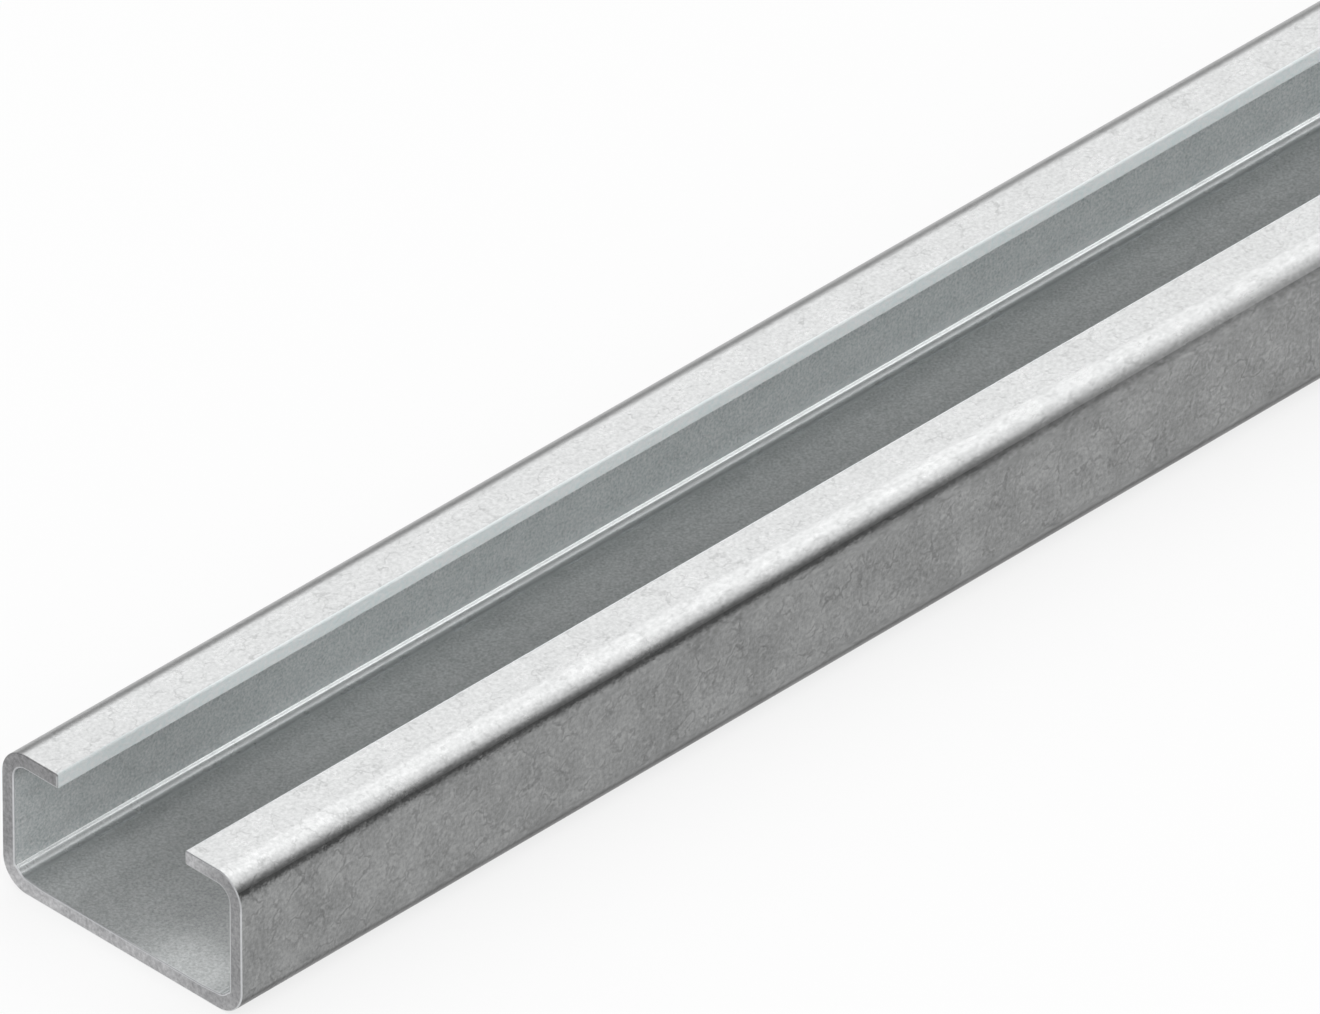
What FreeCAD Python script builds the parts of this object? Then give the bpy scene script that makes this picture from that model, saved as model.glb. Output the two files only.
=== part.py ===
"""Plain C-section channel rail, cold rolled from one galvanised steel strip.

The strip is folded four times: a flat back, two upright walls and two lips that turn
in and leave a slot between them. Bolt heads and sliding nuts go in at an open end,
run along the inside and bear on the undersides of the lips. There are no holes, and
both ends are cut square.

The rail lies on its back. X runs along it, Y across it from the right wall to the left
one, and Z up towards the slot. The origin is the middle of the back's outer face, at
half length. Sizes are in millimetres.
"""

import FreeCAD
import Part

import math
import os

# Driving dimensions of the section
SECTION_WIDTH = 30.0  # over the outer faces of the two walls
SECTION_HEIGHT = 15.0  # from the back's outer face to the top of the lips
SLOT_WIDTH = 16.0  # clear gap between the two lips
STRIP_THICKNESS = 1.5  # the same in the flats and in the bends
BACK_BEND_RADIUS = 1.5  # inside radius of the two bends beside the back
LIP_BEND_RADIUS = 1.5  # inside radius of the two bends beside the lips

# Driving dimensions of the cut piece
RAIL_LENGTH = 200.0
SLIT_EDGE_ROUND = 0.2  # rolled corners of the strip's slit edges, along the slot
CUT_EDGE_BREAK = 0.12  # small chamfer round each sawn end

# The most that the chamfer takes of the rounded slit corner it runs over, as a share
BREAK_SHARE_OF_ROUND = 0.8

# An edge whose ends differ by less than this along X lies in a sawn end
END_EDGE_TOLERANCE = 1e-6

UP = FreeCAD.Vector(0, 0, 1)
TO_LEFT_WALL = FreeCAD.Vector(0, 1, 0)


def inward_of(heading):
    """The direction square to a heading, on the side of the metal and the inside.

    The walk round the section starts at the left lip's slit edge and goes by the left
    wall, the back and the right wall to the right lip, so the channel's inside always
    lies on the same side of it.
    """
    return FreeCAD.Vector(0, heading.z, -heading.y)


class StripWalk:
    """Draws both faces of a folded strip at once, by walking along its outer face.

    Each bend turns the walk a quarter turn towards the inside, and its two arcs share
    one centre, so the thickness stays the same round the whole section.
    """

    def __init__(self, start, heading, thickness):
        self.place = start
        self.heading = heading
        self.thickness = thickness
        self.outer_edges = []
        self.inner_edges = []
        self.developed_length = 0.0

    def across(self, place):
        """The point of the inner face that lies opposite a point of the outer face."""
        return place + inward_of(self.heading) * self.thickness

    def run(self, length):
        """A flat stretch of strip."""
        end = self.place + self.heading * length
        self.outer_edges.append(Part.makeLine(self.place, end))
        self.inner_edges.append(Part.makeLine(self.across(self.place), self.across(end)))
        self.place = end
        self.developed_length += length

    def bend(self, inside_radius):
        """A quarter turn towards the inside, about one centre."""
        outside_radius = inside_radius + self.thickness
        inward = inward_of(self.heading)
        centre = self.place + inward * outside_radius
        diagonal = (self.heading - inward) * math.sqrt(0.5)
        for radius, edges in (
            (outside_radius, self.outer_edges),
            (inside_radius, self.inner_edges),
        ):
            first = centre - inward * radius
            middle = centre + diagonal * radius
            last = centre + self.heading * radius
            edges.append(Part.Arc(first, middle, last).toShape())
        self.place = centre + self.heading * outside_radius
        self.heading = inward
        mid_radius = inside_radius + self.thickness / 2
        self.developed_length += mid_radius * math.pi / 2


def slit_edge(outer_point, inner_point, outwards, corner_radius):
    """The strip's slit edge: a narrow flat with a small round at each corner.

    The two points are where the faces stop, one corner radius short of the edge, and
    outwards points from the strip into the slot.
    """
    inward = (inner_point - outer_point).normalize()
    edges = []
    for face_point, into_strip in ((outer_point, inward), (inner_point, -inward)):
        centre = face_point + into_strip * corner_radius
        diagonal = (outwards - into_strip) * math.sqrt(0.5)
        middle = centre + diagonal * corner_radius
        tip = centre + outwards * corner_radius
        edges.append(Part.Arc(face_point, middle, tip).toShape())
    tips = [edge.Vertexes[-1].Point for edge in edges]
    edges.append(Part.makeLine(*tips))
    return edges


def folded_section():
    """The closed section of the rail in the plane X = 0, and the strip's flat width."""
    lip_bend_outside = LIP_BEND_RADIUS + STRIP_THICKNESS
    back_bend_outside = BACK_BEND_RADIUS + STRIP_THICKNESS
    edge_to_wall = (SECTION_WIDTH - SLOT_WIDTH) / 2
    lip_run = edge_to_wall - SLIT_EDGE_ROUND - lip_bend_outside
    wall_run = SECTION_HEIGHT - lip_bend_outside - back_bend_outside
    back_run = SECTION_WIDTH - 2 * back_bend_outside

    left_edge = TO_LEFT_WALL * (SLOT_WIDTH / 2 + SLIT_EDGE_ROUND) + UP * SECTION_HEIGHT
    walk = StripWalk(left_edge, TO_LEFT_WALL, STRIP_THICKNESS)
    start_outer, start_inner = walk.place, walk.across(walk.place)
    walk.run(lip_run)
    walk.bend(LIP_BEND_RADIUS)
    walk.run(wall_run)
    walk.bend(BACK_BEND_RADIUS)
    walk.run(back_run)
    walk.bend(BACK_BEND_RADIUS)
    walk.run(wall_run)
    walk.bend(LIP_BEND_RADIUS)
    walk.run(lip_run)
    end_outer, end_inner = walk.place, walk.across(walk.place)

    left_nose = slit_edge(start_outer, start_inner, -TO_LEFT_WALL, SLIT_EDGE_ROUND)
    right_nose = slit_edge(end_outer, end_inner, TO_LEFT_WALL, SLIT_EDGE_ROUND)
    outline = walk.outer_edges + right_nose + walk.inner_edges + left_nose
    strip_width = walk.developed_length + 2 * SLIT_EDGE_ROUND
    return Part.Face(Part.Wire(Part.__sortEdges__(outline))), strip_width


def cut_to_length(section):
    """The section drawn out to the rail's length, with both sawn ends chamfered."""
    half_length = FreeCAD.Vector(RAIL_LENGTH / 2, 0, 0)
    bar = section.translated(-half_length).extrude(half_length * 2)
    end_edges = [
        edge
        for edge in bar.Edges
        if edge.BoundBox.XLength < END_EDGE_TOLERANCE
    ]
    chamfer = min(CUT_EDGE_BREAK, SLIT_EDGE_ROUND * BREAK_SHARE_OF_ROUND)
    return bar.makeChamfer(chamfer, end_edges)


def main():
    """Builds the rail, writes it as STEP and prints what a maker would check."""
    section, strip_width = folded_section()
    rail = cut_to_length(section)
    if not rail.isValid() or len(rail.Solids) != 1:
        raise ValueError("the rail isn't one valid solid")
    os.makedirs("parts", exist_ok=True)
    rail.Solids[0].exportStep("parts/channel_rail.step")
    print(f"strip width before folding {strip_width:.2f} mm")
    print(f"section area {section.Area:.2f} mm2, volume {rail.Volume:.1f} mm3")


main()
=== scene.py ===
"""Dresses a folded galvanised channel rail and sets it on a pale studio floor.

The rail lies on its back with the slot up. X runs along it, Y across it and Z up. All
lengths are in metres, in the frame of the solid that the rail's mesh stands for.
"""

import logging
import math
from dataclasses import dataclass, field
from enum import Enum

import bmesh
import bpy
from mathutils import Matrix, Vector


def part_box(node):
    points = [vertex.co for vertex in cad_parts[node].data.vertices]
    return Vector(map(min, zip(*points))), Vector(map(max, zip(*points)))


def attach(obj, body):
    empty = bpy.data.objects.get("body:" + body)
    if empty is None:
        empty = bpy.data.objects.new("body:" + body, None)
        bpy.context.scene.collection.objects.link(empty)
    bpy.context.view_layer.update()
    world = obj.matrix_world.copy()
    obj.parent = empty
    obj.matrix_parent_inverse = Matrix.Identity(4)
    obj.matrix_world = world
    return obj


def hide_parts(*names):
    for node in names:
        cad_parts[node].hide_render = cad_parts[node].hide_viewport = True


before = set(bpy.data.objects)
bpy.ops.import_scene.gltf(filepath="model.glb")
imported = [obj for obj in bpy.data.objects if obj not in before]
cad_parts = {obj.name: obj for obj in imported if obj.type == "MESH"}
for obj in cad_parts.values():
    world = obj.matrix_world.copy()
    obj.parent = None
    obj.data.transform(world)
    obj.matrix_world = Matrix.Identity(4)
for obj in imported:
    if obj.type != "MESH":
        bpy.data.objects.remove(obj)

RAIL_NODE = "channel_rail"
RAIL_BODY = "root"

# in a material's graph, a value is one number or a socket and a colour three numbers or a socket
Triple = tuple[float, float, float]
Socket = bpy.types.NodeSocket
Value = float | Socket
Colour = Triple | Socket

# the zinc's patterns: scales are in repeats to the metre, the warp is a length, and each span
# is the stretch of a pattern's values that is read
CRYSTALS = 380.0
CRYSTAL_WARP = 0.0026
SWAY_SCALE = 1.9 * CRYSTALS
GAP_SCALE = 1.6 * CRYSTALS
GAP_SPAN = (0.47, 0.57)
# the pale rims beside the crystal lines are a painted highlight of their raised edges
RIM_HIGHLIGHT_SPAN = (0.8, 2.6)
CLOUD_SCALE = 0.8 * CRYSTALS
CLOUD_SPAN = (0.32, 0.68)
GRAINS = 2400.0
GRAIN_SPAN = (0.3, 0.7)
WAVES = 3200.0
WAVE_STRETCH = (1.25, 0.75, 0.75)

# how round a bevel is, and a normal's least share along an axis where a face counts as
# square to it or as slanted
ROUND_PROFILE = 0.5
SQUARE_ON = 0.99
SLANTED = 0.1

log = logging.getLogger("channel_rail")


class Region(Enum):
    """The finishes of the rail, in the order of its material slots; the zinc's regions are lighter
    and darker copies of one zinc, which paint light and shade by where they lie and face.
    """

    LIP = 0
    OUTER_WALL = 1
    INNER_WALL = 2
    INNER_FLOOR = 3
    ZINC_RUN = 4
    ZINC_CORNER = 5
    SLIT_EDGE = 6
    SAWN_END = 7
    BROKEN_EDGE = 8


class Axis(Enum):
    """The ways in which a finish may change over the rail."""

    ALONG = "X"
    ACROSS = "Y"
    UP = "Z"
    FROM_MIDDLE = "M"


class Graph:
    """Adds nodes to one node tree and joins them."""

    def __init__(self, tree: bpy.types.NodeTree) -> None:
        """Keeps the tree.

        Args:
            tree: the node tree that the nodes go into.
        """
        self.tree = tree

    def add(self, kind: str, inputs: dict | None = None, **settings: object) -> bpy.types.Node:
        """Adds one node.

        Args:
            kind: the node's type name.
            inputs: values for its input sockets, by name or number.
            settings: values for its own properties.

        Returns:
            The new node.
        """
        node = self.tree.nodes.new(kind)
        for name, value in settings.items():
            setattr(node, name, value)
        for name, value in (inputs or {}).items():
            node.inputs[name].default_value = value
        return node

    def join(self, source: Socket, target: Socket) -> None:
        """Links an output to an input."""
        self.tree.links.new(source, target)

    def math(self, operation: str, first: Value, second: Value | None = None) -> Socket:
        """Adds a Math node.

        Args:
            operation: the node's operation.
            first: a number or an output socket.
            second: a number, an output socket or nothing.

        Returns:
            The node's output.
        """
        node = self.add("ShaderNodeMath", operation=operation)
        for place, value in enumerate((first, second)):
            if isinstance(value, (int, float)):
                node.inputs[place].default_value = value
            elif value is not None:
                self.join(value, node.inputs[place])
        return node.outputs[0]

    def map_range(
        self,
        value: Socket,
        span: tuple[float, float],
        result: tuple[float, float] = (0.0, 1.0),
        smooth: bool = True,
    ) -> Socket:
        """Adds a clamped Map Range node.

        Args:
            value: the output to map.
            span: the range that is read.
            result: the range that it becomes.
            smooth: True eases both ends.

        Returns:
            The node's output.
        """
        node = self.add(
            "ShaderNodeMapRange",
            {1: span[0], 2: span[1], 3: result[0], 4: result[1]},
            interpolation_type="SMOOTHSTEP" if smooth else "LINEAR",
            clamp=True,
        )
        self.join(value, node.inputs[0])
        return node.outputs[0]

    def mix_colour(self, factor: Socket, first: Colour, second: Colour) -> Socket:
        """Adds a Mix node for colours.

        Args:
            factor: an output from 0, the first colour, to 1, the second.
            first: a colour or an output socket.
            second: a colour or an output socket.

        Returns:
            The mixed colour.
        """
        node = self.add("ShaderNodeMix", data_type="RGBA")
        self.join(factor, node.inputs["Factor"])
        for name, value in (("A", first), ("B", second)):
            socket = next(s for s in node.inputs if s.name == name and s.type == "RGBA")
            if isinstance(value, tuple):
                socket.default_value = (*value, 1.0)
            else:
                self.join(value, socket)
        return next(s for s in node.outputs if s.type == "RGBA")

    def noise(self, vector: Socket, scale: Value, detail: float, rough: float) -> bpy.types.Node:
        """Adds a Noise Texture node.

        Args:
            vector: the output that places the noise.
            scale: how many times it repeats in a metre, or an output socket.
            detail: how many finer layers lie on it.
            rough: how strong each finer layer is.

        Returns:
            The node.
        """
        node = self.add("ShaderNodeTexNoise", {"Detail": detail, "Roughness": rough})
        self.join(vector, node.inputs["Vector"])
        if isinstance(scale, (int, float)):
            node.inputs["Scale"].default_value = scale
        else:
            self.join(scale, node.inputs["Scale"])
        return node

    def bump(self, height: Socket, distance: float, normal: Socket | None = None) -> Socket:
        """Adds a Bump node.

        Args:
            height: the output that gives the height, from 0 to 1.
            distance: how high 1 is, in metres.
            normal: the normal that it starts from, or nothing.

        Returns:
            The new normal.
        """
        node = self.add("ShaderNodeBump", {"Strength": 1.0, "Distance": distance})
        self.join(height, node.inputs["Height"])
        if normal is not None:
            self.join(normal, node.inputs["Normal"])
        return node.outputs[0]


def new_group(
    name: str, inputs: dict[str, float | None], outputs: tuple[str, ...]
) -> tuple[bpy.types.NodeTree, bpy.types.Node, bpy.types.Node]:
    """Makes an empty shader node group.

    Args:
        name: the group's name.
        inputs: each input's name with its default, where None means a vector.
        outputs: the names of the outputs, all plain values.

    Returns:
        The group's tree, its input node and its output node.
    """
    tree = bpy.data.node_groups.new(name, "ShaderNodeTree")
    for socket_name, default in inputs.items():
        kind = "NodeSocketVector" if default is None else "NodeSocketFloat"
        socket = tree.interface.new_socket(socket_name, in_out="INPUT", socket_type=kind)
        if default is not None:
            socket.default_value = default
    for socket_name in outputs:
        tree.interface.new_socket(socket_name, in_out="OUTPUT", socket_type="NodeSocketFloat")
    way_in = tree.nodes.new("NodeGroupInput")
    way_out = tree.nodes.new("NodeGroupOutput")
    return tree, way_in, way_out


def make_spangle_group() -> bpy.types.NodeTree:
    """Makes the pattern of zinc crystals: soft clouds, and broken lines with pale rims that are a
    painted highlight of the lines' raised edges.

    Returns:
        The node group.
    """
    tree, way_in, way_out = new_group(
        "zinc_spangle", {"Coordinates": None, "Line": 0.06}, ("Cloud", "Line", "RimHighlight")
    )
    graph = Graph(tree)
    coordinates = way_in.outputs["Coordinates"]
    sway = graph.noise(coordinates, SWAY_SCALE, 3.0, 0.55)
    centred = graph.add("ShaderNodeVectorMath", {1: (0.5, 0.5, 0.5)}, operation="SUBTRACT")
    graph.join(sway.outputs["Color"], centred.inputs[0])
    offset = graph.add("ShaderNodeVectorMath", {"Scale": CRYSTAL_WARP}, operation="SCALE")
    graph.join(centred.outputs[0], offset.inputs[0])
    place = graph.add("ShaderNodeVectorMath", operation="ADD")
    graph.join(coordinates, place.inputs[0])
    graph.join(offset.outputs[0], place.inputs[1])

    edge = graph.add("ShaderNodeTexVoronoi", feature="DISTANCE_TO_EDGE")
    edge.inputs["Scale"].default_value = CRYSTALS
    graph.join(place.outputs[0], edge.inputs["Vector"])
    nearness = graph.math("DIVIDE", edge.outputs["Distance"], way_in.outputs["Line"])
    line = graph.map_range(nearness, (0.0, 1.0), (1.0, 0.0))
    gaps = graph.noise(coordinates, GAP_SCALE, 2.0, 0.6)
    kept = graph.map_range(gaps.outputs["Fac"], GAP_SPAN)
    graph.join(graph.math("MULTIPLY", line, kept), way_out.inputs["Line"])
    # a pale rim beside each line: a painted highlight of its raised edge
    wide = graph.map_range(nearness, RIM_HIGHLIGHT_SPAN, (1.0, 0.0))
    beside = graph.math("SUBTRACT", wide, line)
    graph.join(graph.math("MULTIPLY", beside, kept), way_out.inputs["RimHighlight"])

    cloud = graph.noise(place.outputs[0], CLOUD_SCALE, 4.0, 0.6)
    soft = graph.map_range(cloud.outputs["Fac"], CLOUD_SPAN, smooth=False)
    graph.join(soft, way_out.inputs["Cloud"])
    return tree


def make_grain_group() -> bpy.types.NodeTree:
    """Makes a fine even grain, and the waves of a dipped skin under it.

    The waves are drawn out a little across the rail.

    Returns:
        The node group.
    """
    tree, way_in, way_out = new_group(
        "dipped_grain", {"Coordinates": None, "Grains": GRAINS}, ("Grain", "Wave")
    )
    graph = Graph(tree)
    coordinates = way_in.outputs["Coordinates"]
    grain = graph.noise(coordinates, way_in.outputs["Grains"], 3.0, 0.7)
    spread = graph.map_range(grain.outputs["Fac"], GRAIN_SPAN, smooth=False)
    graph.join(spread, way_out.inputs["Grain"])
    drawn = graph.add("ShaderNodeVectorMath", {1: WAVE_STRETCH}, operation="MULTIPLY")
    graph.join(coordinates, drawn.inputs[0])
    wave = graph.noise(drawn.outputs[0], WAVES, 1.0, 0.5)
    graph.join(wave.outputs["Fac"], way_out.inputs["Wave"])
    return tree


@dataclass(frozen=True)
class Ramp:
    """Where a change begins and where it is full, along one axis."""

    axis: Axis
    start: float
    full: float


@dataclass(frozen=True)
class Change:
    """A slow change where all its ramps are up: light and shade painted into the colour, and more or
    less metal.

    The colour is multiplied by the painted shading, which paints light and shade, and metal is added
    to the Metallic value.
    """

    ramps: tuple[Ramp, ...]
    gain: float = 1.0
    metal: float = 0.0

    def mask(self, graph: Graph, places: Socket) -> Socket:
        """Adds the nodes that say how far the change has come.

        Args:
            graph: the material's graph.
            places: the object's coordinates.

        Returns:
            An output from 0 to 1.
        """
        axes = graph.add("ShaderNodeSeparateXYZ")
        graph.join(places, axes.inputs[0])
        total = None
        for ramp in self.ramps:
            if ramp.axis is Axis.FROM_MIDDLE:
                value = graph.math("ABSOLUTE", axes.outputs["Y"])
            else:
                value = axes.outputs[ramp.axis.value]
            part = graph.map_range(value, (ramp.start, ramp.full))
            total = part if total is None else graph.math("MULTIPLY", total, part)
        return total


def apply_changes(
    graph: Graph,
    shader: bpy.types.Node,
    places: Socket,
    skin: Socket,
    metallic: float,
    changes: tuple[Change, ...],
) -> None:
    """Joins a colour and its Metallic value to the shader, with a finish's slow changes of painted
    light and shade and of metal.

    The colour is kept at 1 or below, and Metallic at 0 or above.

    Args:
        graph: the material's graph.
        shader: the material's shader.
        places: the object's coordinates.
        skin: the colour.
        metallic: the Metallic value where nothing changes it.
        changes: the changes, which paint light and shade into the colour and change the metal.
    """
    shader.inputs["Metallic"].default_value = metallic
    metal = None
    for change in changes:
        mask = change.mask(graph, places)
        # the colour is multiplied here to paint light and shade where the change is up
        if change.gain != 1.0:
            gain = graph.math("ADD", graph.math("MULTIPLY", mask, change.gain - 1.0), 1.0)
            scaled = graph.add("ShaderNodeVectorMath", operation="SCALE")
            graph.join(skin, scaled.inputs[0])
            graph.join(gain, scaled.inputs["Scale"])
            skin = scaled.outputs[0]
        if change.metal:
            part = graph.math("MULTIPLY", mask, change.metal)
            metal = graph.math("ADD", part, metallic if metal is None else metal)
    kept = graph.add("ShaderNodeVectorMath", {1: (1.0, 1.0, 1.0)}, operation="MINIMUM")
    graph.join(skin, kept.inputs[0])
    graph.join(kept.outputs[0], shader.inputs["Base Color"])
    if metal is not None:
        graph.join(graph.math("MAXIMUM", metal, 0.0), shader.inputs["Metallic"])


@dataclass(frozen=True)
class Finish:
    """Cut steel or a slit edge: two colours, mixed by soft clouds and a fine grain.

    The cloud share says how much of the mixing the clouds do. Heights are real ones.
    """

    name: str
    light: Triple
    dark: Triple
    roughness: float
    metallic: float = 1.0
    cloud_share: float = 0.3
    grains: float = GRAINS
    grain_height: float = 0.000004
    changes: tuple[Change, ...] = ()

    def make(self, spangle: bpy.types.NodeTree, grain: bpy.types.NodeTree) -> bpy.types.Material:
        """Makes the material.

        Args:
            spangle: the crystal pattern's group.
            grain: the grain's group.

        Returns:
            The material.
        """
        material = bpy.data.materials.new(self.name)
        material.use_nodes = True
        graph = Graph(material.node_tree)
        shader = material.node_tree.nodes["Principled BSDF"]
        places = graph.add("ShaderNodeTexCoord").outputs["Object"]
        pattern = graph.add("ShaderNodeGroup", node_tree=spangle)
        fine = graph.add("ShaderNodeGroup", node_tree=grain)
        fine.inputs["Grains"].default_value = self.grains
        for group in (pattern, fine):
            graph.join(places, group.inputs["Coordinates"])

        cloud = graph.math("MULTIPLY", pattern.outputs["Cloud"], self.cloud_share)
        speckle = graph.math("MULTIPLY", fine.outputs["Grain"], 1.0 - self.cloud_share)
        body = graph.mix_colour(graph.math("ADD", cloud, speckle), self.light, self.dark)
        skin = self.paint(graph, pattern, body)
        apply_changes(graph, shader, places, skin, self.metallic, self.changes)
        self.roughen(graph, pattern, shader)
        graph.join(self.emboss(graph, pattern, fine), shader.inputs["Normal"])
        return material

    def paint(self, graph: Graph, pattern: bpy.types.Node, body: Socket) -> Socket:
        """Says what is painted over the mixed colour: here, nothing."""
        return body

    def roughen(self, graph: Graph, pattern: bpy.types.Node, shader: bpy.types.Node) -> None:
        """Sets the roughness, here the same all over."""
        shader.inputs["Roughness"].default_value = self.roughness

    def emboss(self, graph: Graph, pattern: bpy.types.Node, fine: bpy.types.Node) -> Socket:
        """Raises the grain from the surface and returns the new normal."""
        return graph.bump(fine.outputs["Grain"], self.grain_height)


@dataclass(frozen=True)
class ZincFinish(Finish):
    """A galvanised face, with crystal lines and their pale rims, a painted highlight, over clouds
    and grain.

    Each depth says how far its pattern takes the colour towards its own.
    """

    cloud_share: float = 0.25
    grain_height: float = 0.000002
    line: float = 0.06
    line_colour: Triple = (0.12, 0.12, 0.12)
    line_depth: float = 0.12
    line_height: float = 0.000012
    # the rim's colour and depth paint a highlight beside each crystal line
    rim_highlight_colour: Triple = (0.90, 0.90, 0.90)
    rim_highlight_depth: float = 0.02
    roughness_spread: float = 0.05
    wave_height: float = 0.000009

    def paint(self, graph: Graph, pattern: bpy.types.Node, body: Socket) -> Socket:
        """Draws the crystal lines, and their rims as a painted highlight, over the mixed colour."""
        pattern.inputs["Line"].default_value = self.line
        drawn = graph.math("MULTIPLY", pattern.outputs["Line"], self.line_depth)
        skin = graph.mix_colour(drawn, body, self.line_colour)
        # the rims are painted highlight, laid over the lines
        raised = graph.math("MULTIPLY", pattern.outputs["RimHighlight"], self.rim_highlight_depth)
        return graph.mix_colour(raised, skin, self.rim_highlight_colour)

    def roughen(self, graph: Graph, pattern: bpy.types.Node, shader: bpy.types.Node) -> None:
        """Spreads the roughness a little, from cloud to cloud."""
        spread = graph.math("MULTIPLY", pattern.outputs["Cloud"], self.roughness_spread)
        rough = graph.math("ADD", spread, self.roughness - self.roughness_spread / 2)
        graph.join(rough, shader.inputs["Roughness"])

    def emboss(self, graph: Graph, pattern: bpy.types.Node, fine: bpy.types.Node) -> Socket:
        """Raises the waves and the grain, sinks the lines and returns the new normal."""
        normal = graph.bump(fine.outputs["Wave"], self.wave_height)
        normal = graph.bump(fine.outputs["Grain"], self.grain_height, normal)
        groove = graph.math("SUBTRACT", 1.0, pattern.outputs["Line"])
        return graph.bump(groove, self.line_height, normal)


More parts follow.
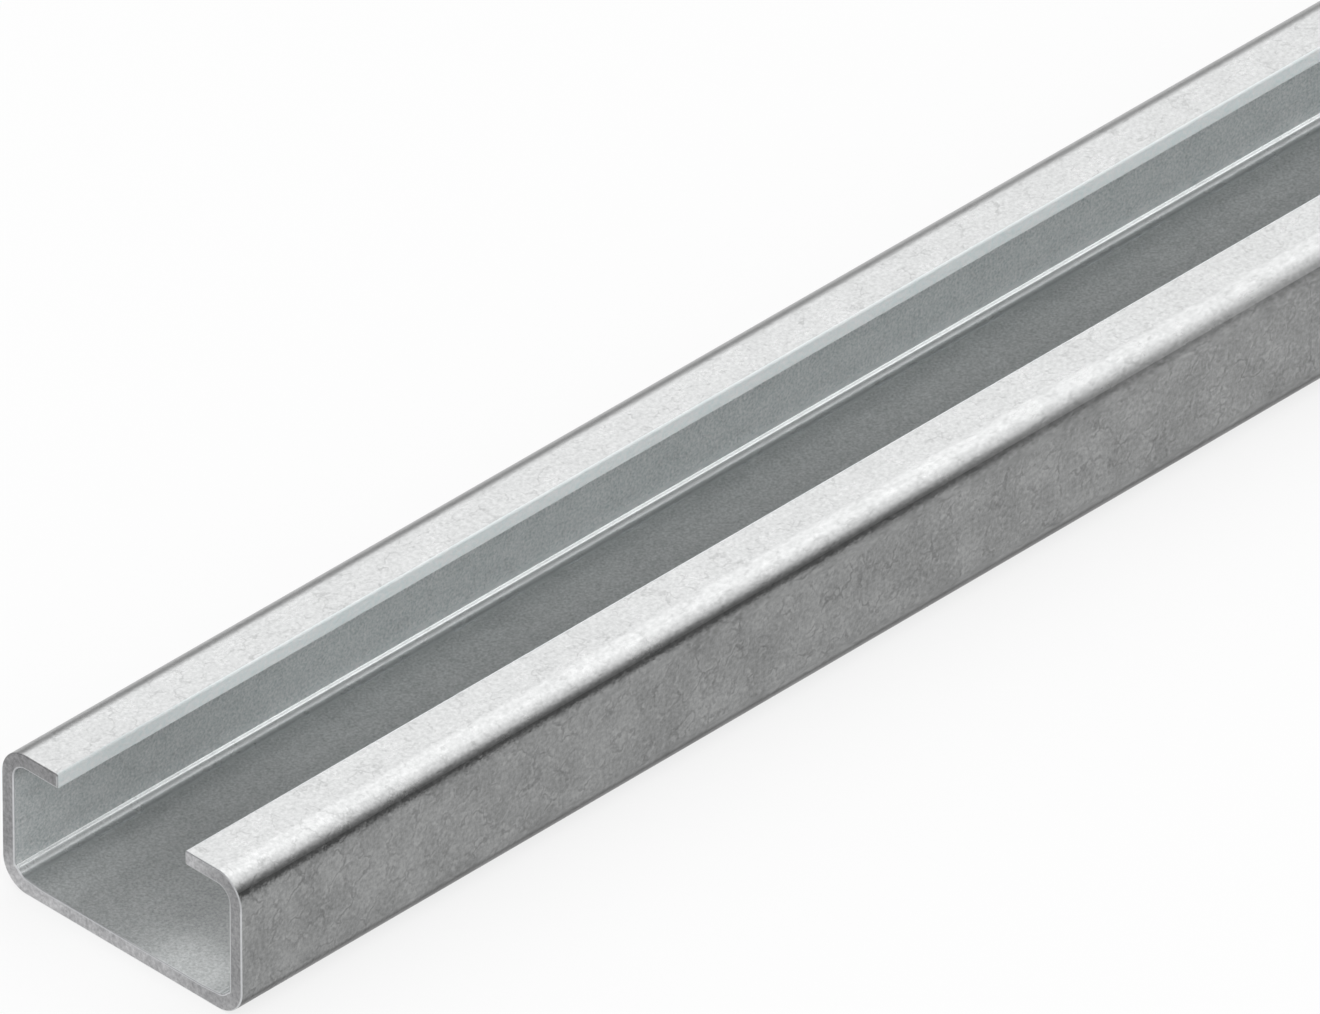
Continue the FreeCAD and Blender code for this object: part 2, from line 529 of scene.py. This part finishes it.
FINISHES = {
    Region.LIP: ZincFinish(
        "zinc_lip",
        light=(0.590, 0.595, 0.595),
        dark=(0.405, 0.410, 0.410),
        roughness=0.28,
        cloud_share=0.18,
        line_depth=0.22,
        line_height=0.000004,
        roughness_spread=0.02,
        wave_height=0.000016,
        changes=(
            # the lip's gains paint light and shade: a little lighter towards the far end, a little
            # darker round its bends than on its flat top, and a painted dark reflection band on the
            # +Y lip's outer bend, eased towards its outer side
            Change((Ramp(Axis.ALONG, -0.030, 0.035),), gain=1.04, metal=-0.22),
            Change((Ramp(Axis.ALONG, -0.022, 0.030), Ramp(Axis.UP, 0.0146, 0.0141)), metal=-0.28),
            Change((Ramp(Axis.UP, 0.01498, 0.01486),), gain=0.94),
            Change((Ramp(Axis.ACROSS, 0.0121, 0.0128),), gain=0.56),
            Change((Ramp(Axis.ACROSS, 0.0129, 0.0133),), gain=1.26),
        ),
    ),
    # the outer wall: a darker copy of the lip's zinc, painted shade
    Region.OUTER_WALL: ZincFinish(
        "zinc_outer_wall_painted_shade",
        light=(0.380, 0.384, 0.383),
        dark=(0.164, 0.168, 0.167),
        roughness=0.30,
        cloud_share=0.38,
        line=0.11,
        line_colour=(0.10, 0.10, 0.10),
        line_depth=0.25,
        line_height=0.000009,
        rim_highlight_depth=0.10,
        wave_height=0.000036,
        changes=(
            # the wall's gains paint shade: a little darker towards the far end, darker towards the
            # foot, and a painted dark shadow line along the lower bend
            Change((Ramp(Axis.ALONG, -0.030, 0.035),), gain=0.98, metal=-0.22),
            Change((Ramp(Axis.ALONG, -0.022, 0.030), Ramp(Axis.UP, 0.0120, 0.0128)), metal=-0.4),
            Change((Ramp(Axis.UP, 0.0036, 0.0024),), gain=0.88),
            Change((Ramp(Axis.UP, 0.0025, 0.0019),), gain=0.3),
        ),
    ),
    # the inner wall: a lighter, half-matte copy of the zinc, painted light inside the channel
    Region.INNER_WALL: ZincFinish(
        "zinc_inner_wall_painted_light_and_shade",
        light=(1.0, 1.0, 1.0),
        dark=(0.49, 0.56, 0.565),
        roughness=0.32,
        metallic=0.32,
        cloud_share=0.14,
        grains=3400.0,
        changes=(
            # its gains paint light and shade: lighter towards its foot, a painted shadow under the
            # lip, and darker towards the near end
            Change((Ramp(Axis.UP, 0.0042, 0.0028),), gain=1.15),
            Change((Ramp(Axis.UP, 0.0112, 0.0130),), gain=0.6),
            Change((Ramp(Axis.ALONG, -0.060, -0.088),), gain=0.80),
        ),
    ),
    # the channel's floor: a lighter, half-matte copy of the zinc, painted light
    Region.INNER_FLOOR: ZincFinish(
        "zinc_inner_floor_painted_light_and_shade",
        light=(0.67, 0.685, 0.685),
        dark=(0.345, 0.36, 0.36),
        roughness=0.32,
        metallic=0.3,
        cloud_share=0.12,
        grains=3800.0,
        line_height=0.000005,
        changes=(
            # its gains paint light and shade: darker and more metallic beside the walls, darker in
            # steps from under the +Y lip towards the -Y side, darker towards the near end with a
            # lighter strip at it, a painted shadow on the -Y side by the near end, and a painted
            # pool of light in the near -Y corner
            Change((Ramp(Axis.FROM_MIDDLE, 0.0092, 0.0120),), gain=0.86, metal=0.35),
            Change((Ramp(Axis.ACROSS, 0.0112, 0.0085),), gain=0.90),
            Change((Ramp(Axis.ACROSS, 0.0080, 0.0060),), gain=0.90),
            Change((Ramp(Axis.ALONG, -0.064, -0.084),), gain=0.94),
            Change((Ramp(Axis.ALONG, -0.086, -0.095),), gain=1.10),
            Change((Ramp(Axis.ALONG, -0.080, -0.088), Ramp(Axis.ACROSS, 0.003, -0.003)), gain=0.8),
            Change((Ramp(Axis.ALONG, -0.0935, -0.0975), Ramp(Axis.ACROSS, 0.003, -0.006)), gain=1.4),
        ),
    ),
    # the zinc run: a near-white copy of the zinc, so that its raised face mirrors a bright line,
    # partly real reflection and partly painted highlight
    Region.ZINC_RUN: ZincFinish(
        "zinc_run_painted_light_and_shade",
        light=(0.94, 0.97, 0.97),
        dark=(0.86, 0.89, 0.89),
        roughness=0.25,
        line_depth=0.05,
        line_height=0.000002,
        wave_height=0.000003,
        # its gain paints shade towards the near end
        changes=(Change((Ramp(Axis.ALONG, -0.068, -0.098),), gain=0.74),),
    ),
    # the corner past the run: a copy of the zinc whose gains paint a bright band beside the run, a
    # darker line, a lighter band and less light towards the floor, and painted light in the -Y
    # corner
    Region.ZINC_CORNER: ZincFinish(
        "zinc_corner_painted_light_and_shade",
        light=(0.420, 0.436, 0.438),
        dark=(0.340, 0.352, 0.354),
        roughness=0.28,
        metallic=0.65,
        line_height=0.000002,
        wave_height=0.000003,
        changes=(
            Change((Ramp(Axis.FROM_MIDDLE, 0.0129, 0.0132),), gain=2.28, metal=-0.65),
            Change((Ramp(Axis.FROM_MIDDLE, 0.0129, 0.0127),), gain=1.65),
            Change((Ramp(Axis.FROM_MIDDLE, 0.0126, 0.0123),), gain=0.67),
            Change((Ramp(Axis.ACROSS, 0.0, -0.001),), gain=1.3, metal=-0.5),
        ),
    ),
    # the slit edges: a near-white matte face, paler than any metal, painted light; their gains paint
    # shade towards the near end and on their top rounds
    Region.SLIT_EDGE: Finish(
        "slit_edge",
        light=(1.0, 1.0, 1.0),
        dark=(0.80, 0.90, 0.91),
        roughness=0.6,
        metallic=0.0,
        grain_height=0.000030,
        changes=(
            Change((Ramp(Axis.ALONG, -0.076, -0.095),), gain=0.8),
            Change((Ramp(Axis.UP, 0.0148, 0.01492),), gain=0.88),
        ),
    ),
    Region.SAWN_END: Finish(
        "sawn_end",
        light=(0.425, 0.425, 0.43),
        dark=(0.175, 0.175, 0.18),
        roughness=0.45,
        changes=(
            # the sawn ends' gains paint light and shade: much lighter towards the bottom, most on
            # the +Y side, lighter on the -Y lip's end towards the slot, and a little darker on the
            # +Y lip's end
            Change((Ramp(Axis.ACROSS, -0.030, 0.006), Ramp(Axis.UP, 0.0050, 0.0008)), gain=1.7),
            Change(
                (
                    Ramp(Axis.ACROSS, -0.0150, -0.0080),
                    Ramp(Axis.ACROSS, 0.0040, -0.0040),
                    Ramp(Axis.UP, 0.0120, 0.0136),
                ),
                gain=1.6,
            ),
            Change((Ramp(Axis.ACROSS, 0.0, 0.008), Ramp(Axis.UP, 0.0110, 0.0136)), gain=0.95),
        ),
    ),
    # the broken edges and the inner ring of each end face are paler than the sawn steel: partly the
    # zinc layer showing on the cut, partly a painted highlight along the outline; the gain paints
    # shade towards the top
    Region.BROKEN_EDGE: Finish(
        "broken_edge",
        light=(0.64, 0.65, 0.66),
        dark=(0.54, 0.55, 0.56),
        roughness=0.35,
        changes=(Change((Ramp(Axis.UP, 0.0112, 0.0128),), gain=0.8),),
    ),
}


@dataclass
class ChannelRail:
    """One strip folded into a channel: back, walls and lips, with its edges broken.

    Lengths are in metres and angles in degrees. The lip turn says how far round the upper
    bend the lip's finish goes, from straight up. The run's flat face spans two angles round
    the inner bend, from level down, and the run's slope is where its normal points, by the
    same angle. The tolerances and the slack say how near counts as in place.
    """

    low: Vector
    high: Vector
    slot_width: float = 0.016
    strip: float = 0.0015
    back_bend_inside: float = 0.0015
    lip_bend_inside: float = 0.0015
    slit_round: float = 0.0002
    end_break: float = 0.00012
    end_rim: float = 0.00006
    # past the lip turn the outer wall's darker copy of the zinc, painted shade, takes over
    lip_turn: float = 59.0
    run_slope: float = 55.0
    run_face: tuple[float, float] = (20.7, 33.1)
    run_reach: float = 0.002
    bend_segments: int = 45
    slit_segments: int = 6
    break_segments: int = 3
    tolerance: float = 0.00001
    fine_tolerance: float = 0.000001
    bend_slack: float = 0.00003
    mesh: bmesh.types.BMesh = field(default_factory=bmesh.new)

    @property
    def half_slot(self) -> float:
        """Where each slit edge is, from the middle."""
        return self.slot_width / 2

    @property
    def bend_y(self) -> float:
        """Where the centres of the bends are, from the middle."""
        return self.high.y - self.strip - self.back_bend_inside

    @property
    def back_bend_z(self) -> float:
        """How high the centres of the bends beside the back are."""
        return self.low.z + self.strip + self.back_bend_inside

    @property
    def lip_bend_z(self) -> float:
        """How high the centres of the bends beside the lips are."""
        return self.high.z - self.strip - self.lip_bend_inside

    def bevel(self, edges: list[bmesh.types.BMEdge], width: float, segments: int) -> None:
        """Rounds edges.

        Args:
            edges: the edges to round.
            width: how far the rounding reaches on each side.
            segments: how many faces it gets.
        """
        bmesh.ops.bevel(
            self.mesh,
            geom=edges,
            offset=width,
            offset_type="OFFSET",
            segments=segments,
            profile=ROUND_PROFILE,
            affect="EDGES",
            material=-1,
        )

    def draw_sheet(self) -> None:
        """Draws the outer face as a sheet with sharp folds, from few points."""
        corners = [
            (self.half_slot, self.high.z),
            (self.high.y, self.high.z),
            (self.high.y, self.low.z),
            (self.low.y, self.low.z),
            (self.low.y, self.high.z),
            (-self.half_slot, self.high.z),
        ]
        points = [self.mesh.verts.new((self.low.x, y, z)) for y, z in corners]
        outline = [self.mesh.edges.new(pair) for pair in zip(points, points[1:])]
        drawn = bmesh.ops.extrude_edge_only(self.mesh, edges=outline)
        far = [part for part in drawn["geom"] if isinstance(part, bmesh.types.BMVert)]
        length = self.high.x - self.low.x
        bmesh.ops.translate(self.mesh, verts=far, vec=(length, 0.0, 0.0))
        top = max(self.mesh.faces, key=lambda face: face.calc_center_median().z)
        top.normal_update()
        if top.normal.z < 0:
            bmesh.ops.reverse_faces(self.mesh, faces=self.mesh.faces[:])

    def fold(self) -> None:
        """Rounds the four folds of the sheet to their outside radii."""
        middle = (self.low.z + self.high.z) / 2
        folds = [edge for edge in self.mesh.edges if len(edge.link_faces) == 2]
        upper = [edge for edge in folds if edge.verts[0].co.z > middle]
        lower = [edge for edge in folds if edge.verts[0].co.z < middle]
        self.bevel(upper, self.lip_bend_inside + self.strip, self.bend_segments)
        self.bevel(lower, self.back_bend_inside + self.strip, self.bend_segments)

    def thicken(self) -> None:
        """Gives the sheet its thickness, on the side of the channel's inside."""
        bmesh.ops.solidify(self.mesh, geom=self.mesh.faces[:], thickness=self.strip)
        bmesh.ops.recalc_face_normals(self.mesh, faces=self.mesh.faces[:])

    def run_height(self, angle: float) -> float:
        """Says how far the zinc that ran together stands off an inner bend.

        It starts as a flat face at the run's slope, and then keeps its height.

        Args:
            angle: how far round the bend, in degrees from the wall's face.

        Returns:
            The height over the bend.
        """
        first, last = self.run_face
        if angle <= first:
            return 0.0
        reached = math.radians(self.run_slope - min(angle, last))
        started = math.radians(self.run_slope - first)
        return self.back_bend_inside * (1.0 - math.cos(started) / math.cos(reached))

    def run_zinc(self) -> None:
        """Fills the inner bends beside the back a little, where the zinc ran together.

        A cut along the back's inner face is where the run's thin edge ends.
        """
        for side in (-1.0, 1.0):
            back = [
                face
                for face in self.mesh.faces
                if abs(face.normal.z) > SQUARE_ON
                and abs(face.calc_center_median().z - self.low.z - self.strip) < self.tolerance
            ]
            lines = {edge for face in back for edge in face.edges}
            points = {vert for face in back for vert in face.verts}
            bmesh.ops.bisect_plane(
                self.mesh,
                geom=[*back, *lines, *points],
                dist=self.fine_tolerance,
                plane_co=(0.0, side * (self.bend_y - self.run_reach), 0.0),
                plane_no=(0.0, 1.0, 0.0),
            )
        for vert in self.mesh.verts:
            side = math.copysign(1.0, vert.co.y)
            out = side * vert.co.y - self.bend_y
            down = self.back_bend_z - vert.co.z
            radius = math.hypot(out, down)
            beside = min(out, down) < -self.bend_slack
            if beside or abs(radius - self.back_bend_inside) > self.tolerance:
                continue
            raised = self.run_height(math.degrees(math.atan2(down, out)))
            vert.co.y -= side * out / radius * raised
            vert.co.z += down / radius * raised

    def round_slit_edges(self) -> None:
        """Rounds the upper corners of the strip's two slit edges."""
        corners = [
            edge
            for edge in self.mesh.edges
            if all(abs(abs(vert.co.y) - self.half_slot) < self.tolerance for vert in edge.verts)
            and all(abs(vert.co.z - self.high.z) < self.tolerance for vert in edge.verts)
        ]
        self.bevel(corners, self.slit_round, self.slit_segments)

    def keep_slit_corners(self) -> None:
        """Keeps the slit edges' lower corners sharp, and their mitres at the sawn ends."""
        for edge in self.mesh.edges:
            places = [
                (abs(vert.co.y) - self.half_slot, vert.co.z - self.high.z + self.strip)
                for vert in edge.verts
            ]
            if all(abs(a - b) < self.tolerance and a < self.slit_round for a, b in places):
                edge.smooth = False

    def close_ends(self) -> None:
        """Makes each sawn end one face, breaks its edge all round and marks off its rim."""
        for place in (self.low.x, self.high.x):
            bmesh.ops.dissolve_faces(self.mesh, faces=self.end_faces(place))
        rims = [
            edge
            for edge in self.mesh.edges
            if abs(edge.verts[0].co.x - edge.verts[1].co.x) < self.tolerance
        ]
        self.bevel(rims, self.end_break, self.break_segments)
        for place in (self.low.x, self.high.x):
            bmesh.ops.inset_region(
                self.mesh,
                faces=self.end_faces(place),
                thickness=self.end_rim,
                use_even_offset=True,
            )

    def end_faces(self, place: float) -> list[bmesh.types.BMFace]:
        """Finds the faces that lie in one sawn end.

        Args:
            place: where the end is along X.

        Returns:
            Its faces.
        """
        return [
            face
            for face in self.mesh.faces
            if all(abs(vert.co.x - place) < self.tolerance for vert in face.verts)
        ]

    def depth_in_strip(self, place: Vector) -> float:
        """Says how deep a point lies in the strip, from its outer face.

        Args:
            place: a point of the section.

        Returns:
            The depth.
        """
        across = abs(place.y)
        if across <= self.bend_y:
            return min(place.z - self.low.z, self.high.z - place.z)
        if place.z < self.back_bend_z:
            radius = math.hypot(across - self.bend_y, self.back_bend_z - place.z)
            return self.strip + self.back_bend_inside - radius
        if place.z > self.lip_bend_z:
            radius = math.hypot(across - self.bend_y, place.z - self.lip_bend_z)
            return self.strip + self.lip_bend_inside - radius
        return self.high.y - across

    def region_of(self, face: bmesh.types.BMFace) -> Region:
        """Says which finish a face has, by where it lies and where it looks, which also picks the
        lighter or darker copy of the zinc that paints light and shade.

        Args:
            face: a face of the finished mesh.

        Returns:
            Its finish.
        """
        centre = face.calc_center_median()
        depth = self.depth_in_strip(centre)
        if abs(face.normal.x) > SQUARE_ON:
            # the inner ring of each end face gets the pale broken-edge finish: the zinc layer on the
            # cut, with a painted highlight along the inner outline
            in_rim = depth > self.strip - self.end_break - self.end_rim and len(face.verts) == 4
            return Region.BROKEN_EDGE if in_rim else Region.SAWN_END
        if abs(face.normal.x) > SLANTED:
            # the outer bevels on the +Y side keep the sawn finish, without the painted highlight of
            # the broken edges
            no_painted_highlight = depth < self.strip / 2 and centre.y > 0
            return Region.SAWN_END if no_painted_highlight else Region.BROKEN_EDGE
        if abs(centre.y) < self.half_slot + self.slit_round and centre.z > self.lip_bend_z:
            return Region.SLIT_EDGE
        out = abs(centre.y) - self.bend_y
        # outer faces: the lip's zinc, and the wall's darker copy painted as shade
        if depth < self.strip / 2:
            up = centre.z - self.lip_bend_z
            on_top = up > 0 and math.degrees(math.atan2(max(out, 0.0), up)) < self.lip_turn
            return Region.LIP if on_top else Region.OUTER_WALL
        # inner faces: lighter copies of the zinc painted as light, with painted bands in the corners
        down = self.back_bend_z - centre.z
        if down < 0:
            return Region.INNER_WALL
        if out < 0:
            return Region.INNER_FLOOR
        angle = math.degrees(math.atan2(down, out))
        if angle > self.run_face[1]:
            return Region.ZINC_CORNER
        return Region.ZINC_RUN if angle > self.run_face[0] else Region.INNER_WALL

    def build(self) -> bpy.types.Object:
        """Builds the rail's mesh and makes it an object.

        Returns:
            The rail, each face holding the number of its region's material slot.
        """
        self.draw_sheet()
        self.fold()
        self.thicken()
        self.run_zinc()
        self.round_slit_edges()
        self.close_ends()
        for face in self.mesh.faces:
            face.normal_update()
            face.material_index = self.region_of(face).value
            face.smooth = True
        self.keep_slit_corners()
        data = bpy.data.meshes.new("rail")
        self.mesh.to_mesh(data)
        self.mesh.free()
        rail = bpy.data.objects.new("rail", data)
        bpy.context.scene.collection.objects.link(rail)
        shading = rail.modifiers.new("face_shading", "WEIGHTED_NORMAL")
        shading.keep_sharp = True
        log.info("rail: %d faces", len(data.polygons))
        return rail

    def dress(self, rail: bpy.types.Object) -> None:
        """Gives the rail its finishes.

        Args:
            rail: the built rail.
        """
        spangle = make_spangle_group()
        grain = make_grain_group()
        for region in Region:
            rail.data.materials.append(FINISHES[region].make(spangle, grain))


@dataclass(frozen=True)
class SoftPatch:
    """A soft light or dark patch of the dome, round one direction.

    The reach gives the cosines of the angles where it begins and where it is full.
    """

    toward: Triple
    reach: tuple[float, float]
    strength: float


@dataclass
class Studio:
    """A pale floor under a soft dome, and a camera with a very long lens.

    The view is nearly a parallel one, so the rail's long lines stay side by side. The
    floor's white is the share of plain white in it, for rays that come from the camera, a
    mirror or glass.
    """

    floor_level: float
    floor_size: float = 4.0
    floor_gap: float = 0.00005
    floor_colour: Triple = (0.88, 0.88, 0.88)
    floor_roughness: float = 0.9
    floor_white: float = 0.8
    azimuth: float = -44.98
    elevation: float = 35.28
    aim: Triple = (-0.02610, 0.00710, 0.00730)
    distance: float = 3.8
    lens: float = 1166.6
    sensor: float = 36.0
    clip: tuple[float, float] = (0.1, 100.0)
    all_round: float = 0.63
    patches: tuple[SoftPatch, ...] = (
        SoftPatch((0.577, 0.577, 0.577), (0.60, 0.98), 0.88),
        SoftPatch((0.577, 0.211, 0.789), (0.85, 0.995), 0.30),
        SoftPatch((0.577, -0.043, 0.815), (0.88, 0.997), 0.24),
        SoftPatch((0.577, -0.306, 0.757), (0.88, 0.997), 0.84),
        SoftPatch((0.577, -0.80, 0.16), (0.85, 0.995), -0.56),
        SoftPatch((-0.577, -0.577, 0.577), (0.50, 0.95), 0.61),
        SoftPatch((-0.50, 0.75, 0.43), (0.80, 0.98), -0.23),
        SoftPatch((0.577, 0.8165, 0.0), (0.80, 0.99), -0.62),
    )

    def lay_floor(self) -> None:
        """Lays the floor under the rail."""
        sheet = bmesh.new()
        bmesh.ops.create_grid(sheet, x_segments=1, y_segments=1, size=self.floor_size / 2)
        bmesh.ops.translate(
            sheet, verts=sheet.verts[:], vec=(0.0, 0.0, self.floor_level - self.floor_gap)
        )
        data = bpy.data.meshes.new("floor")
        sheet.to_mesh(data)
        sheet.free()
        floor = bpy.data.objects.new("floor", data)
        bpy.context.scene.collection.objects.link(floor)
        material = bpy.data.materials.new("floor")
        material.use_nodes = True
        graph = Graph(material.node_tree)
        shader = material.node_tree.nodes["Principled BSDF"]
        shader.inputs["Base Color"].default_value = (*self.floor_colour, 1.0)
        shader.inputs["Roughness"].default_value = self.floor_roughness
        shader.inputs["Specular IOR Level"].default_value = 0.0
        white = graph.add("ShaderNodeEmission", {"Color": (1.0, 1.0, 1.0, 1.0), "Strength": 1.0})
        rays = graph.add("ShaderNodeLightPath")
        seen = graph.math("MAXIMUM", rays.outputs["Is Camera Ray"], rays.outputs["Is Glossy Ray"])
        either = graph.math("MAXIMUM", seen, rays.outputs["Is Transmission Ray"])
        mixed = graph.add("ShaderNodeMixShader")
        graph.join(graph.math("MULTIPLY", either, self.floor_white), mixed.inputs[0])
        graph.join(shader.outputs[0], mixed.inputs[1])
        graph.join(white.outputs[0], mixed.inputs[2])
        finish = material.node_tree.nodes["Material Output"]
        graph.join(mixed.outputs[0], finish.inputs["Surface"])
        data.materials.append(material)

    def light(self) -> None:
        """Lights the scene with a soft dome, from its even part and its patches."""
        world = bpy.data.worlds.new("dome")
        bpy.context.scene.world = world
        world.use_nodes = True
        graph = Graph(world.node_tree)
        background = world.node_tree.nodes["Background"]
        background.inputs["Color"].default_value = (1.0, 1.0, 1.0, 1.0)
        places = graph.add("ShaderNodeTexCoord").outputs["Generated"]
        total = None
        for patch in self.patches:
            centre = Vector(patch.toward).normalized()
            toward = graph.add("ShaderNodeVectorMath", {1: tuple(centre)}, operation="DOT_PRODUCT")
            graph.join(places, toward.inputs[0])
            soft = graph.map_range(toward.outputs["Value"], patch.reach)
            part = graph.math("MULTIPLY", soft, patch.strength)
            total = graph.math("ADD", part, self.all_round if total is None else total)
        graph.join(graph.math("MAXIMUM", total, 0.0), background.inputs["Strength"])

    def place_camera(self) -> None:
        """Puts the camera where the rail's three axes look alike."""
        azimuth = math.radians(self.azimuth)
        elevation = math.radians(self.elevation)
        back = Vector(
            (
                math.sin(azimuth) * math.cos(elevation),
                -math.cos(azimuth) * math.cos(elevation),
                math.sin(elevation),
            )
        )
        data = bpy.data.cameras.new("camera")
        data.lens = self.lens
        data.sensor_width = self.sensor
        data.clip_start, data.clip_end = self.clip
        camera = bpy.data.objects.new("camera", data)
        camera.rotation_mode = "QUATERNION"
        camera.location = Vector(self.aim) + back * self.distance
        camera.rotation_quaternion = (-back).to_track_quat("-Z", "Y")
        bpy.context.scene.collection.objects.link(camera)
        bpy.context.scene.camera = camera

    def build(self) -> None:
        """Builds the floor, the light and the camera."""
        self.lay_floor()
        self.light()
        self.place_camera()
        bpy.context.scene.view_settings.view_transform = "Standard"


def main() -> None:
    logging.basicConfig(level=logging.INFO, format="%(name)s: %(message)s")
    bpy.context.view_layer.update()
    low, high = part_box(RAIL_NODE)
    maker = ChannelRail(low=low, high=high)
    rail = maker.build()
    maker.dress(rail)
    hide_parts(RAIL_NODE)
    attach(rail, RAIL_BODY)
    Studio(floor_level=low.z).build()


if __name__ == "__main__":
    main()
